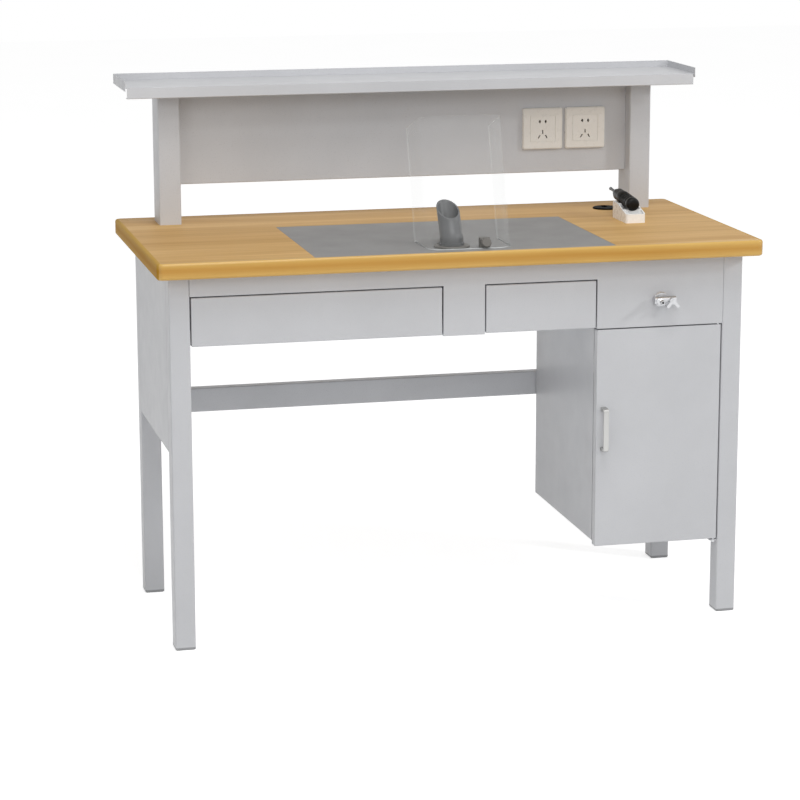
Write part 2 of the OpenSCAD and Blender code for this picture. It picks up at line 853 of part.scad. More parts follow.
// An upright round bar with a ball for its top, from which a thinner bar leans back
// to the slanted mouth. Both ends can run on past the nozzle's own.
module ball_elbow(ball_r, r, run_on = 0) {
    translate([nozzle_x, nozzle_y, nozzle_z]) rotate_extrude() {
        translate([0, -run_on]) square([ball_r, nozzle_rise + run_on]);
        translate([0, nozzle_rise]) intersection() {
            circle(ball_r);
            square(ball_r);
        }
    }
    on_nozzle_axis() difference() {
        cylinder(h = nozzle_l + 2 * r, r = r);
        translate([0, 0, nozzle_l + run_on]) rotate([mouth_cut, 0, 0]) above();
    }
}

module suction_nozzle() {
    r = nozzle_od / 2;
    bore = stub_od / 2 + nozzle_fit;
    color(grey_plastic) difference() {
        union() {
            ball_elbow(r + 0.8, r);
            translate([nozzle_x, nozzle_y, nozzle_z]) cylinder(h = 5, r = r + 2.5);
        }
        ball_elbow(bore, bore - 0.8, cut);
    }
}

// The plan of the guard: closed in front, open at the back, with bent corners.
module guard_section() {
    difference() {
        translate([-guard_w / 2, 0]) rounded_rect(guard_w, guard_d + 2 * guard_r, guard_r);
        translate([-guard_w / 2 + guard_t, guard_t])
            rounded_rect(guard_w - 2 * guard_t, guard_d + 2 * guard_r, guard_r - guard_t);
        translate([-guard_w, guard_d]) square([2 * guard_w, 4 * guard_r]);
    }
}

module dust_guard() {
    foot = 60;
    color(clear_plastic) difference() {
        translate([guard_x, guard_fy, top_h]) rotate([-guard_lean, 0, 0])
            translate([0, 0, -foot]) linear_extrude(guard_l + foot) guard_section();
        block([-top_x, -top_y, top_h - 2 * foot], [top_x, top_y, top_h]);
        guard_screw_axis() translate([0, 0, -cut]) cylinder(h = 20, r = 3.2);
    }
}

// The line of the clamp screw, square to the leaning front wall.
module guard_screw_axis() {
    rise = 10.5;
    translate([post_x, guard_fy + rise * tan(guard_lean), top_h + rise]) rotate([90 - guard_lean, 0, 0])
        translate([0, 0, -12]) children();
}

module guard_post() {
    color(grey_plastic) difference() {
        translate([post_x, guard_fy + post_od / 2 + 4, top_h]) cylinder(h = post_h, r = post_od / 2);
        translate([guard_x, guard_fy, top_h]) rotate([-guard_lean, 0, 0])
            translate([-guard_w, -60, -30]) cube([2 * guard_w, 60 + guard_t + 0.1, 120]);
        guard_screw_axis() translate([0, 0, -20]) cylinder(h = 40, r = 2.55);
    }
}

module guard_screw() {
    knob_r = 9.5;
    knob_t = 8;
    color(grey_plastic) guard_screw_axis() {
        cylinder(h = 12.1, r = 2.5);
        translate([0, 0, 12.1]) cylinder(h = knob_t - 1.5, r = knob_r);
        translate([0, 0, 10.6 + knob_t]) cylinder(h = 1.5, r1 = knob_r, r2 = knob_r - 1.5);
    }
}

// Gas tap

// The tap's own axes: dx to the right of its middle, out in front of the fascia, +Z forwards.
module on_tap(dx, out) {
    translate([tap_x + dx, leg_fy - out, tap_z]) rotate([90, 0, 0]) children();
}

// A wall flange, a cross barrel with a barbed hose nozzle and a valve neck, and a threaded shank
// with a hose tail behind.
module tap_body() {
    shank_l = sheet + locknut_h + 1;
    cone_l = shank_r - inlet_r;
    back_l = shank_l + cone_l + inlet_l;
    gas_r = 3;
    neck = lever_out - seat - barrel_out;
    tail = tap_reach - barrel_out;
    color(chrome) difference() {
        union() {
            on_tap(0, 0) rotate_extrude() polygon([
                [0, 0], [tap_flange_r, 0], [tap_flange_r, 1.5], [tap_flange_r - 2, 3.5], [0, 3.5]
            ]);
            on_tap(0, 0) cylinder(h = barrel_out, r = 7);
            on_tap(0, -shank_l) cylinder(h = shank_l + 1, r = shank_r);
            on_tap(0, -shank_l - cone_l) cylinder(h = cone_l, r1 = inlet_r, r2 = shank_r);
            on_tap(0, -back_l) cylinder(h = inlet_l + 1, r = inlet_r);
            on_tap(hose_dx - barrel_r - 1, barrel_out) rotate([0, 90, 0])
                cylinder(h = tap_spread + 2 * barrel_r + 2, r = barrel_r);
            on_tap(hose_dx, barrel_out) rotate_extrude() polygon([
                [0, 0], [6.5, 0], [6.5, 11], [4.5, 12], [5.5, 15], [4.2, 16], [5.2, 20], [4, 21],
                [5, 25], [3.6, tail], [0, tail]
            ]);
            on_tap(spindle_dx, barrel_out) cylinder(h = neck, r = 6);
            on_tap(spindle_dx, barrel_out) cylinder(h = neck + seat + lever_t + 1, r = spindle_r);
        }
        on_tap(hose_dx, barrel_out) cylinder(h = tap_reach, r = 2.4);
        on_tap(0, -back_l - cut) cylinder(h = back_l, r = gas_r);
    }
}

module tap_locknut() {
    h = locknut_h;
    color(zinc) on_tap(0, -sheet - h) difference() {
        cylinder(h = h, r = 15, $fn = 6);
        translate([0, 0, -cut]) cylinder(h = h + 2 * cut, r = shank_r + 0.05);
    }
}

// Two wings on a hub, drooping like a roof.
module tap_lever() {
    droop = 46;
    wing_l = 15;
    wing_r = 3;
    color(chrome) on_tap(spindle_dx, lever_out) difference() {
        linear_extrude(lever_t) {
            circle(6.5);
            for (a = [-droop, 180 + droop]) rotate(a) {
                translate([0, -wing_r]) square([wing_l, 2 * wing_r]);
                translate([wing_l, 0]) circle(wing_r);
            }
        }
        translate([0, 0, -cut]) cylinder(h = lever_t + 2 * cut, r = spindle_r + 0.05);
    }
}

// Handpiece and cradle

module on_hand_axis() {
    translate([cradle_x, cradle_fy + 15, hand_z]) rotate([hand_tilt, 0, 0]) rotate([-90, 0, 0]) children();
}

// A long open box, higher at the back, with two inner saddles that carry the handpiece.
module handpiece_cradle() {
    wall = 2.5;
    rib = 4;
    w = cradle_w - 2 * wall;
    l = cradle_l - 2 * wall;
    color(white_plastic) translate([cradle_x - cradle_w / 2, cradle_fy, top_h]) difference() {
        intersection() {
            linear_extrude(cradle_back_h) difference() {
                rounded_rect(cradle_w, cradle_l, 5);
                for (part = [[wall, 24], [24 + rib, cradle_l - 36], [cradle_l - 36 + rib, cradle_l - wall]])
                    translate([wall, part[0]]) square([w, part[1] - part[0]]);
            }
            rotate([90, 0, 90]) linear_extrude(cradle_w) polygon([
                [0, 0], [cradle_l, 0], [cradle_l, cradle_back_h], [cradle_l - 30, cradle_back_h],
                [0, cradle_front_h]
            ]);
        }
        translate([-cradle_x + cradle_w / 2, -cradle_fy, -top_h]) on_hand_axis()
            translate([0, 0, -40]) cylinder(h = hand_l + 80, r = hand_od / 2 + seat);
    }
    color(white_plastic) translate([cradle_x, cradle_fy + cradle_l / 2, top_h]) linear_extrude(wall)
        square([w + wall, l + wall], center = true);
}

module handpiece_body() {
    r = hand_od / 2;
    color(black_plastic) on_hand_axis() difference() {
        rotate_extrude() polygon([
            [0, 0], [r - 4, 0], [r - 1, 3], [r, 8], [r, hand_l * 0.62], [r - 1.5, hand_l * 0.7],
            [r - 1.5, hand_l * 0.86], [r - 4, hand_l * 0.92], [r - 6, hand_l], [0, hand_l]
        ]);
        translate([0, 0, hand_l - chuck_in]) cylinder(h = chuck_in + cut, r = chuck_r);
    }
}

module handpiece_chuck() {
    color(chrome) on_hand_axis() {
        translate([0, 0, hand_l - chuck_in]) cylinder(h = chuck_in + 6, r = chuck_r);
        translate([0, 0, hand_l + 6]) cylinder(h = 24, r = 3);
        translate([0, 0, hand_l + 30]) cylinder(h = 6, r = 1.6);
        translate([0, 0, hand_l + 37]) sphere(3.6);
    }
}

// Cable outlet

module cable_grommet() {
    r = grommet_od / 2;
    color(black_plastic) translate([grommet_x, grommet_y, top_h]) rotate_extrude() polygon([
        [r - 6.5, -26], [r - 4.2, -26], [r - 4.2, 0], [r, 0], [r, 1.5], [r - 1.5, 3], [r - 5, 3],
        [r - 5, -2], [r - 6.5, -2]
    ]);
}

module grommet_cap() {
    r = grommet_od / 2 - 5 - 0.1;
    color(black_plastic) translate([grommet_x, grommet_y, top_h - 2 + seat]) difference() {
        cylinder(h = 4.5, r = r);
        translate([-6, 4, -cut]) cube([12, r, 8]);
        translate([0, 4, -cut]) cylinder(h = 8, r = 6);
    }
}

leg_front_left();
leg_front_right();
leg_back_left();
leg_back_right();
leg_end_caps();
side_top_rails();
back_top_rail();
rear_stretcher();
side_panel_left();
side_panel_right();
front_fascia();
drawer_divider();
runner_bracket();
outer_runners();
cabinet_side_left();
cabinet_side_right();
cabinet_back();
cabinet_floor();
cabinet_ceiling();
door_pivots();
catch_magnet();
door_panel();
door_stiffener();
door_pivot_blocks();
door_pull();
catch_striker();
drawer_left_front();
drawer_left_tray();
drawer_left_runners();
drawer_right_front();
drawer_right_tray();
drawer_right_runners();
worktop_board();
edge_lipping();
inset_plate();
upright_left();
upright_right();
upright_plugs();
upright_bolts();
shelf_tray();
shelf_edges();
back_panel();
panel_cover();
socket_plates();
socket_bodies();
suction_flange();
suction_nozzle();
dust_guard();
guard_post();
guard_screw();
tap_body();
tap_locknut();
tap_lever();
handpiece_cradle();
handpiece_body();
handpiece_chuck();
cable_grommet();
grommet_cap();
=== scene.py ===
"""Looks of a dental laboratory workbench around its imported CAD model."""

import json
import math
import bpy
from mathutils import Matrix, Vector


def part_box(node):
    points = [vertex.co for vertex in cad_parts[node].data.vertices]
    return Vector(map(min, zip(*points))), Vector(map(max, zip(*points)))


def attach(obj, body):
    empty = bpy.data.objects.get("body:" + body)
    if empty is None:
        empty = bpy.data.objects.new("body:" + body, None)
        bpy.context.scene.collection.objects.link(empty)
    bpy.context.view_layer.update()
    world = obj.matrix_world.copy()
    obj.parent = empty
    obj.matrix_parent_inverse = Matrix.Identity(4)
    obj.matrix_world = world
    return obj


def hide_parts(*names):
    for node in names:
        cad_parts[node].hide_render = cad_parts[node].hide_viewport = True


bl_info = {
    "name": "Dental Lab Workbench",
    "version": (1, 0, 0),
    "blender": (4, 5, 0),
    "location": "3D View > Sidebar > Workbench",
    "description": "Dresses a dental laboratory workbench: paint, worktop, fittings and stage",
    "category": "Object",
}

import bmesh
import bpy
from bpy.props import FloatProperty, FloatVectorProperty, IntProperty, PointerProperty
from mathutils import Matrix, Vector

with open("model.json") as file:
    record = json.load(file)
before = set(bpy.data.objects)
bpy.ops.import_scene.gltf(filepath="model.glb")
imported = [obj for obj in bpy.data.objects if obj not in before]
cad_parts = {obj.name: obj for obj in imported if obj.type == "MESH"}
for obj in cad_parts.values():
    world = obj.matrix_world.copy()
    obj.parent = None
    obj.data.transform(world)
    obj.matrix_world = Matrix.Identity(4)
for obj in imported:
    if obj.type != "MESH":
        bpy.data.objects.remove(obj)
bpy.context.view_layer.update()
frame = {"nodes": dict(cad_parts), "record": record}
NODES = frame["nodes"]
RECORD = frame["record"]
BODY_OF = {
    node: body
    for body, nodes in RECORD["behaviour"]["bodies"].items()
    for node in nodes
}
SLOT_OF = {row["node"]: row["material_slot"] for row in RECORD["subparts"]}
MM = 0.001


def linear(*srgb):
    """A colour of 0 to 255 as shown on a screen, as the linear colour that a shader takes."""
    shares = [channel / 255 for channel in srgb]
    return [v / 12.92 if v <= 0.04045 else ((v + 0.055) / 1.055) ** 2.4 for v in shares]


def colour_property(name, description, srgb):
    return FloatVectorProperty(
        name=name, description=description, subtype="COLOR", size=3,
        min=0, max=1, default=linear(*srgb),
    )


def length_property(name, description, millimetres):
    return FloatProperty(
        name=name, description=description, subtype="DISTANCE", unit="LENGTH",
        min=0, default=millimetres * MM, precision=5,
    )


def angle_property(name, description, degrees):
    return FloatProperty(
        name=name, description=description, subtype="ANGLE", unit="ROTATION",
        default=math.radians(degrees),
    )


def power_property(name, description, watts):
    return FloatProperty(
        name=name, description=description, subtype="POWER", min=0, default=watts,
    )


class FinishSettings(bpy.types.PropertyGroup):
    """Colours of the bench's finishes."""

    paint: colour_property("Paint", "Powder coat of the frame and sheet parts", (204, 205, 208))
    laminate_light: colour_property(
        "Laminate light", "Light grain of the worktop", (221, 182, 120)
    )
    laminate_dark: colour_property("Laminate dark", "Dark grain of the worktop", (190, 145, 80))
    lipping_light: colour_property(
        "Lipping light", "Light grain of the lipping", (220, 178, 92)
    )
    lipping_dark: colour_property("Lipping dark", "Dark grain of the lipping", (192, 144, 52))
    # Painted shade: the colour of the darker strip painted along the middle of the lipping's
    # height
    lipping_shade_strip: colour_property("Lipping painted shade", "Darker strip along the lipping", (184, 126, 10))
    plate: colour_property("Inset plate", "Grey plate in the worktop", (144, 143, 142))
    grey: colour_property("Grey plastic", "Suction nozzle", (98, 99, 100))
    dark_grey: colour_property(
        "Dark plastic", "Nozzle's flange, clamp post and knob", (108, 105, 100)
    )
    ends: colour_property("Leg ends", "Plastic caps under the legs", (158, 159, 161))
    tip: colour_property("Chuck", "Darkened steel of the handpiece's chuck", (120, 122, 124))
    white: colour_property("White plastic", "Cradle, pivot blocks and catch", (252, 252, 251))
    sockets: colour_property(
        "Socket plastic", "Socket plates and their bodies", (234, 230, 223)
    )
    # Black, darkened further, also gives the pin holes' painted shade
    black: colour_property("Black plastic", "Handpiece, cable outlet, pin holes", (10, 10, 9))
    zinc: colour_property("Zinc plate", "Trays, runners, bolts and fittings", (196, 199, 204))
    chrome: colour_property("Chrome", "Gas tap and pivots", (202, 203, 205))
    satin: colour_property("Satin nickel", "Door pull", (186, 186, 184))
    clear: colour_property("Clear sheet", "Tint of the clear guard", (246, 251, 250))


class EdgeSettings(bpy.types.PropertyGroup):
    """Radii of the rounded edges."""

    sheet: length_property("Sheet metal", "Bend radius of folded sheet", 1.8)
    fitting: length_property("Fittings", "Edge radius of small metal fittings", 0.7)
    moulding: length_property("Mouldings", "Edge radius of moulded plastic", 1.0)
    board: length_property("Boards", "Edge radius of the worktop and plate", 0.5)
    segments: IntProperty(
        name="Segments", description="Steps in each rounded edge", min=1, max=6, default=3,
    )


class GripSettings(bpy.types.PropertyGroup):
    """The handpiece's place in its cradle, and its grip."""

    tilt: angle_property("Tilt", "Lift of the handpiece's back end", 5)
    start: length_property("Start", "Height of the near end's middle above the worktop", 35)
    rings: IntProperty(
        name="Grip rings", description="Grooves round the grip", min=0, max=14, default=9,
    )
    groove: length_property("Groove depth", "Depth of each groove in the grip", 0.6)
    pitch: length_property("Groove pitch", "Distance from groove to groove", 3.2)


class GuardSettings(bpy.types.PropertyGroup):
    """The clear guard round the suction nozzle."""

    lean: angle_property("Lean", "Backward lean of the guard's sheets", 18)
    # Painted highlight: the band at the guard's foot is painted as a bright line
    foot: length_property("Foot", "Height of the light line at the guard's foot", 1.6)


class StageSettings(bpy.types.PropertyGroup):
    """Lamps, even light and camera."""

    key_power: power_property("Key lamp", "Power of the lamp far to the right", 115)
    front_power: power_property("Front lamp", "Power of the lamp above the viewer", 32)
    fill_power: power_property("Fill lamp", "Power of the broad lamp at the left", 17)
    top_power: power_property("Top lamp", "Power of the lamp high in front of the bench", 46)
    world_level: FloatProperty(
        name="World level", description="Strength of the even light from all round",
        min=0, max=2, default=0.37,
    )
    focal_length: FloatProperty(
        name="Focal length", description="The camera's lens, for a sensor 36 mm wide",
        min=10, max=400, default=121.5,
    )


# Finishes

ACRYLIC_IOR = 1.49
# Places of the mix node's colour sockets among those for other kinds of value
MIX_SHARE, MIX_FIRST, MIX_SECOND, MIX_RESULT = 0, 6, 7, 2


class Finish:
    """A node material on Object coordinates, built up step by step."""

    def __init__(self, name):
        self.material = bpy.data.materials.new(name)
        self.material.use_nodes = True
        self.tree = self.material.node_tree
        self.nodes = self.tree.nodes
        self.surface = self.nodes["Principled BSDF"]
        self.coordinates = self.nodes.new("ShaderNodeTexCoord").outputs["Object"]

    def link(self, source, target):
        self.tree.links.new(source, target)

    def fill(self, socket, value):
        """Puts a link, a number or a colour into a socket."""
        if isinstance(value, bpy.types.NodeSocket):
            self.link(value, socket)
        elif isinstance(value, (int, float)):
            socket.default_value = value
        else:
            socket.default_value = (*value, 1)

    def surface_values(self, **values):
        """Fills sockets of the surface, named with _ for each space."""
        for name, value in values.items():
            self.fill(self.surface.inputs[name.replace("_", " ")], value)

    def stretched(self, x, y, z):
        """Object coordinates scaled by axis, for a grain that runs along one axis."""
        node = self.nodes.new("ShaderNodeMapping")
        node.inputs["Scale"].default_value = (x, y, z)
        self.link(self.coordinates, node.inputs["Vector"])
        return node.outputs["Vector"]

    def noise(self, scale, detail=3, roughness=0.5, along=None, distortion=0):
        node = self.nodes.new("ShaderNodeTexNoise")
        for name, value in (
            ("Scale", scale), ("Detail", detail), ("Roughness", roughness),
            ("Distortion", distortion),
        ):
            node.inputs[name].default_value = value
        self.link(along or self.coordinates, node.inputs["Vector"])
        return node.outputs["Fac"]

    def crystals(self, scale):
        """A grey for each cell of a random cell pattern."""
        node = self.nodes.new("ShaderNodeTexVoronoi")
        node.inputs["Scale"].default_value = scale
        self.link(self.coordinates, node.inputs["Vector"])
        grey = self.nodes.new("ShaderNodeRGBToBW")
        self.link(node.outputs["Color"], grey.inputs["Color"])
        return grey.outputs["Val"]

    def spread(self, value, low, high, to_low, to_high):
        """Maps low to high onto to_low to to_high, and clamps it."""
        node = self.nodes.new("ShaderNodeMapRange")
        for name, number in (
            ("From Min", low), ("From Max", high), ("To Min", to_low), ("To Max", to_high),
        ):
            node.inputs[name].default_value = number
        self.link(value, node.inputs["Value"])
        return node.outputs["Result"]

    def blend(self, share, first, second):
        """Mixes two colours: the first at a share of 0, and the second at 1."""
        node = self.nodes.new("ShaderNodeMix")
        node.data_type = "RGBA"
        for place, value in ((MIX_SHARE, share), (MIX_FIRST, first), (MIX_SECOND, second)):
            self.fill(node.inputs[place], value)
        return node.outputs[MIX_RESULT]

    def maths(self, operation, first, second=0):
        """One step of arithmetic on links or numbers."""
        node = self.nodes.new("ShaderNodeMath")
        node.operation = operation
        for socket, value in zip(node.inputs, (first, second)):
            self.fill(socket, value)
        return node.outputs[0]

    def relief(self, *layers):
        """Bump layers of (height, strength, millimetres), the first one lowest."""
        below = None
        for height, strength, millimetres in layers:
            node = self.nodes.new("ShaderNodeBump")
            node.inputs["Strength"].default_value = strength
            node.inputs["Distance"].default_value = millimetres * MM
            self.link(height, node.inputs["Height"])
            if below:
                self.link(below, node.inputs["Normal"])
            below = node.outputs["Normal"]
        self.link(below, self.surface.inputs["Normal"])


def shaded(colour, factor):
    """A colour made darker or lighter by a factor."""
    return [channel * factor for channel in colour]


def powder_coat(colours):
    """Satin powder coat: orange peel over sheet that isn't quite flat."""
    finish = Finish("light_grey_powder_coat")
    paint = colours.paint
    clouds = finish.spread(finish.noise(5, 4, 0.6), 0.32, 0.68, 0, 1)
    colour = finish.blend(clouds, shaded(paint, 0.955), shaded(paint, 1.02))
    specks = finish.spread(finish.noise(620, 2), 0.30, 0.36, 1, 0)
    colour = finish.blend(specks, colour, shaded(paint, 0.86))
    smears = finish.spread(finish.noise(28, 4), 0.3, 0.7, 0.36, 0.48)
    finish.surface_values(Base_Color=colour, Roughness=smears)
    waves, peel = finish.noise(4.5, 1), finish.noise(700, 2)
    finish.relief((waves, 0.30, 1.2), (peel, 0.22, 0.25))
    return finish.material


def zinc_plate(colours):
    """Dull zinc plate with its faint crystals."""
    finish = Finish("zinc_plate")
    zinc = colours.zinc
    crystal = finish.crystals(90)
    finish.surface_values(
        Metallic=1.0,
        Base_Color=finish.blend(crystal, shaded(zinc, 0.9), zinc),
        Roughness=finish.spread(crystal, 0, 1, 0.44, 0.56),
    )
    finish.relief((finish.noise(260, 3), 0.10, 0.1))
    return finish.material


def chrome_plate(colours):
    """Chrome dulled a little by use."""
    finish = Finish("dulled_chrome")
    chrome = colours.chrome
    finish.surface_values(
        Metallic=1.0,
        Base_Color=finish.blend(finish.noise(60), shaded(chrome, 0.94), chrome),
        Roughness=finish.spread(finish.noise(140, 5, 0.7), 0.35, 0.75, 0.34, 0.46),
    )
    finish.relief((finish.noise(300, 2), 0.05, 0.1))
    return finish.material


def dark_chuck_steel(colours):
    """The chuck's darkened steel, polished by tool changes."""
    finish = Finish("dark_chuck_steel")
    tip = colours.tip
    finish.surface_values(
        Metallic=1.0,
        Base_Color=finish.blend(finish.noise(90), shaded(tip, 0.85), tip),
        Roughness=finish.spread(finish.noise(240, 4, 0.6), 0.35, 0.7, 0.22, 0.36),
    )
    finish.relief((finish.noise(500, 2), 0.08, 0.1))
    return finish.material


def satin_nickel(colours):
    """Satin nickel plate, brushed along the pull."""
    finish = Finish("satin_nickel")
    satin = colours.satin
    strokes = finish.noise(1, 4, 0.6, finish.stretched(900, 900, 14))
    shine = finish.spread(strokes, 0.3, 0.7, 0, 1)
    finish.surface_values(
        Metallic=1.0,
        Base_Color=finish.blend(shine, shaded(satin, 0.93), satin),
        Roughness=finish.spread(strokes, 0.3, 0.7, 0.30, 0.42),
    )
    finish.relief((strokes, 0.12, 0.1))
    return finish.material


def wood_grain(name, light, dark, along_x, rough, fleck):
    """Straight wood grain along the bench or across it: broad bands, fine fibres and pores.
    Rough is its lowest roughness, and fleck the strength of its pores."""
    finish = Finish(name)

    def grain(along, across):
        """Coordinates scaled by one number along the grain and by another across it."""
        if along_x:
            return finish.stretched(along, across, across)
        return finish.stretched(across, along, across)

    bands = finish.noise(1, 3, 0.55, grain(1.1, 16), 0.6)
    rings = finish.noise(1, 2, 0.5, grain(1.6, 62), 1.2)
    fibres = finish.noise(1, 5, 0.65, grain(7, 330), 0.2)
    pores = finish.noise(1, 2, 0.5, grain(60, 1500))
    share = finish.maths(
        "ADD", finish.maths("MULTIPLY", bands, 0.45), finish.maths("MULTIPLY", rings, 0.3)
    )
    share = finish.maths("ADD", share, finish.maths("MULTIPLY", fibres, 0.25))
    colour = finish.blend(finish.spread(share, 0.36, 0.64, 0, 1), dark, light)
    flecks = finish.spread(pores, 0.30, 0.38, fleck, 0)
    colour = finish.blend(flecks, colour, shaded(dark, 0.72))
    finish.surface_values(
        Base_Color=colour, Roughness=finish.spread(fibres, 0.3, 0.7, rough, rough + 0.12),
    )
    ridges = finish.noise(1, 3, 0.5, grain(12, 420))
    finish.relief((pores, 0.12, 0.2), (ridges, 0.08, 0.2))
    return finish


def worktop_laminate(colours):
    finish = wood_grain(
        "maple_laminate", colours.laminate_light, colours.laminate_dark, along_x=True,
        rough=0.50, fleck=0.35,
    )
    finish.surface_values(Specular_IOR_Level=0.25)
    return finish.material


def lipping_wood(colours, along_x):
    """Wood with a painted highlight, paler towards the top, and a darker strip of painted shade
    along the middle of its height. It is varnished along the bench, and duller at its ends,
    where its colours are also painted darker as shade."""
    # At the ends the colours are darkened by this factor as painted shade
    if along_x:
        name, end_shade_factor, rough, varnish, specular = "lipping_grain_lengthwise", 1, 0.30, 0.35, 0.5
    else:
        name, end_shade_factor, rough, varnish, specular = "lipping_grain_crosswise", 0.87, 0.48, 0, 0.04
    light, dark, strip_shade = (
        shaded(colour, end_shade_factor)
        for colour in (colours.lipping_light, colours.lipping_dark, colours.lipping_shade_strip)
    )
    finish = wood_grain(name, light, dark, along_x, rough, fleck=0.45)
    low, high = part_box("edge_lipping")
    height = finish.nodes.new("ShaderNodeSeparateXYZ")
    finish.link(finish.coordinates, height.inputs["Vector"])
    # Painted shade: a darker strip along the middle of the lipping's height
    strip_height = (low.z + high.z) / 2 + 1 * MM
    above_strip = finish.maths("SUBTRACT", height.outputs["Z"], strip_height)
    strip = finish.spread(finish.maths("ABSOLUTE", above_strip), 1 * MM, 12 * MM, 0.7, 0)
    # Painted highlight: the grain turns paler towards the top
    top_highlight = finish.spread(above_strip, 3 * MM, 13 * MM, 0, 0.55)
    grain = finish.surface.inputs["Base Color"].links[0].from_socket
    grain = finish.blend(top_highlight, grain, light)
    finish.surface_values(
        Base_Color=finish.blend(strip, grain, strip_shade),
        Coat_Weight=varnish, Coat_Roughness=0.18, Specular_IOR_Level=specular,
    )
    return finish.material


def plate_plastic(colours):
    """Hard grey plate: fine grain, rubbed a little smoother in patches."""
    finish = Finish("grey_hard_plate")
    plate = colours.plate
    clouds = finish.spread(finish.noise(9, 4, 0.6), 0.3, 0.7, 0, 1)
    colour = finish.blend(clouds, shaded(plate, 0.94), shaded(plate, 1.03))
    specks = finish.spread(finish.noise(900, 2), 0.62, 0.70, 0, 0.5)
    colour = finish.blend(specks, colour, shaded(plate, 1.3))
    strokes = finish.noise(1, 4, 0.6, finish.stretched(14, 420, 60), 0.8)
    scuffs = finish.spread(strokes, 0.66, 0.74, 0, 0.25)
    colour = finish.blend(scuffs, colour, shaded(plate, 1.18))
    rubbed = finish.spread(finish.noise(14, 4), 0.3, 0.7, 0.50, 0.64)
    finish.surface_values(Base_Color=colour, Roughness=rubbed, Specular_IOR_Level=0.3)
    finish.relief((finish.noise(820, 3), 0.25, 0.2))
    return finish.material


def moulded_plastic(name, colour, rough, grain, cloudy=0.03):
    """Moulded plastic: slight cloudiness and a fine spark-eroded grain."""
    finish = Finish(name)
    clouds = finish.spread(finish.noise(22, 2), 0.3, 0.7, 0, 1)
    dark, light = shaded(colour, 1 - cloudy), shaded(colour, 1 + cloudy / 2)
    finish.surface_values(
        Base_Color=finish.blend(clouds, dark, light),
        Roughness=finish.spread(finish.noise(120, 4), 0.3, 0.7, rough - 0.05, rough + 0.06),
    )
    finish.relief((finish.noise(1400, 2), grain, 0.15))
    return finish


def white_plastic(colours):
    return moulded_plastic("white_moulded_plastic", colours.white, 0.27, 0.06, 0.012).material


def socket_plastic(colours):
    return moulded_plastic("socket_plastic", colours.sockets, 0.30, 0.06, 0.012).material


def grey_plastic(colours):
    return moulded_plastic("grey_moulded_plastic", colours.grey, 0.40, 0.2).material


def dark_plastic(colours):
    return moulded_plastic("dark_grey_moulded_plastic", colours.dark_grey, 0.42, 0.2).material


def leg_end_plastic(colours):
    return moulded_plastic("leg_end_plastic", colours.ends, 0.48, 0.3).material


def black_plastic(colours):
    finish = moulded_plastic("black_moulded_plastic", colours.black, 0.36, 0.2)
    finish.surface_values(Specular_IOR_Level=0.22)
    return finish.material


def dull_black_plastic(colours):
    """The cable outlet's matt plastic."""
    finish = moulded_plastic("dull_black_plastic", shaded(colours.black, 0.5), 0.62, 0.25)
    finish.surface_values(Specular_IOR_Level=0.05)
    return finish.material


def pin_hole_shade(colours):
    """Painted shade: near-black for the unlit inside of the outlets' pin holes."""
    return moulded_plastic("outlet_contact_well", shaded(colours.black, 0.4), 0.6, 0.1).material


def clear_sheet(colours):
    """Clear acrylic sheet, polished by use here and there."""
    finish = Finish("clear_acrylic_sheet")
    clear = colours.clear
    haze = finish.noise(22, 4, 0.6)
    rim = finish.nodes.new("ShaderNodeLayerWeight")
    rim.inputs["Blend"].default_value = 0.2
    finish.surface_values(
        Base_Color=finish.blend(haze, shaded(clear, 0.96), clear),
        Roughness=finish.spread(haze, 0.4, 0.75, 0.03, 0.10),
        Alpha=finish.spread(rim.outputs["Facing"], 0, 1, 0.014, 0.11),
        IOR=ACRYLIC_IOR,
    )
    return finish.material


def clear_edge(colours, name="clear_acrylic_edge", highlight_opacity=0.09):
    """The guard's sawn and flame-polished edges, a little rough, made more opaque and white as
    a painted highlight for the light they gather.
    """
    finish = Finish(name)
    clear = colours.clear
    finish.surface_values(
        Base_Color=finish.blend(finish.noise(80, 4), shaded(clear, 0.93), clear),
        Roughness=finish.spread(finish.noise(500, 4), 0.3, 0.7, 0.25, 0.5),
        Alpha=finish.spread(finish.noise(60, 3), 0.3, 0.7, highlight_opacity, 1.5 * highlight_opacity),
        IOR=ACRYLIC_IOR,
    )
    saw_marks = finish.noise(1, 3, 0.5, finish.stretched(700, 700, 90))
    finish.relief((saw_marks, 0.2, 0.2))
    return finish.material


def foot_highlight(colours):
    """The guard's lower edge, painted as a bright highlight line above the plate."""
    return clear_edge(colours, "clear_acrylic_foot", 0.28)


# The finish of each material slot, apart from the lipping's and the guard's own
FINISHES = {
    "frame_paint": powder_coat,
    "zinc_steel": zinc_plate,
    "chrome": chrome_plate,
    "satin_pull": satin_nickel,
    "worktop_laminate": worktop_laminate,
    "plate_grey": plate_plastic,
    "white_plastic": white_plastic,
    "grey_plastic": grey_plastic,
    "black_plastic": black_plastic,
}
made_finishes = {}


def finish_of(maker, **options):
    """The finish that a maker gives, made once."""
    key = (maker, *sorted(options.items()))
    if key not in made_finishes:
        made_finishes[key] = maker(bpy.context.scene.bench_finish, **options)
    return made_finishes[key]


# Pieces

# Corners closer than this are one: in the CAD model, and in what is made here
SAME_CORNER, SAME_POINT = 0.01 * MM, 0.001 * MM
# Faces that turn less than this are one flat face, or neighbours in one curved form
FLAT_WITHIN, CURVED_BELOW = math.radians(0.4), math.radians(33)
# Widest rounding at a thin face, as a share of the face's breadth
RIM_SHARE = 0.4
TURNING_STEPS = 48


